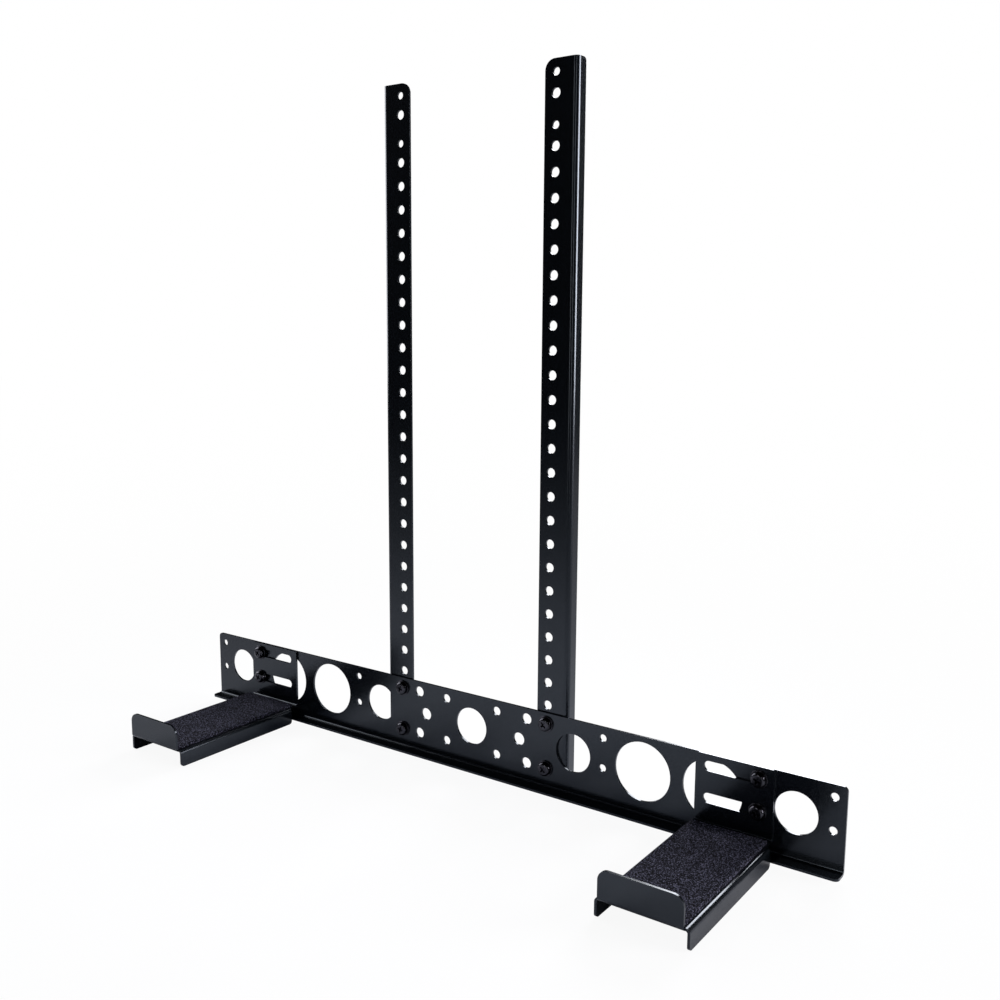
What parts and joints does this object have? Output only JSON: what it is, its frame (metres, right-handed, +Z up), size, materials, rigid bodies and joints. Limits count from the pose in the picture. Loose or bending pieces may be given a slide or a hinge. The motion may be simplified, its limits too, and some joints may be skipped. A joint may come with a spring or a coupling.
{
  "type": "soundbar bracket",
  "caption": "Black steel bracket that hangs a soundbar below a television: perforated cross bar and uprights, and forward arms with foam pads.",
  "frame": {"origin": "middle of the television's 200 mm by 400 mm hole pattern, on the front faces of the uprights, which the back of the television meets", "axes": "+X along the cross bar to the viewer's right, +Y back towards the wall, +Z up along the uprights"},
  "size_m": [0.845, 0.2078, 0.755],
  "materials": {
    "black_sheet_steel": "fine satin black powder coat on folded steel sheet",
    "black_hardware": "black zinc plated steel, glossy",
    "foam": "matt dark grey foam with a fine speckle"
  },
  "bodies": {
    "root": {"arm_left": "black_sheet_steel", "arm_right": "black_sheet_steel", "crossbar": "black_sheet_steel", "nut_arm_left_lower": "black_hardware", "nut_arm_left_upper": "black_hardware", "nut_arm_right_lower": "black_hardware", "nut_arm_right_upper": "black_hardware", "nut_upright_left_lower": "black_hardware", "nut_upright_left_upper": "black_hardware", "nut_upright_right_lower": "black_hardware", "nut_upright_right_upper": "black_hardware", "pad_left": "foam", "pad_right": "foam", "screw_arm_left_lower": "black_hardware", "screw_arm_left_upper": "black_hardware", "screw_arm_right_lower": "black_hardware", "screw_arm_right_upper": "black_hardware", "screw_upright_left_lower": "black_hardware", "screw_upright_left_upper": "black_hardware", "screw_upright_right_lower": "black_hardware", "screw_upright_right_upper": "black_hardware", "upright_left": "black_sheet_steel", "upright_right": "black_sheet_steel", "washer_arm_left_lower": "black_hardware", "washer_arm_left_upper": "black_hardware", "washer_arm_right_lower": "black_hardware", "washer_arm_right_upper": "black_hardware", "washer_upright_left_lower": "black_hardware", "washer_upright_left_upper": "black_hardware", "washer_upright_right_lower": "black_hardware", "washer_upright_right_upper": "black_hardware"}
  },
  "joints": []
}
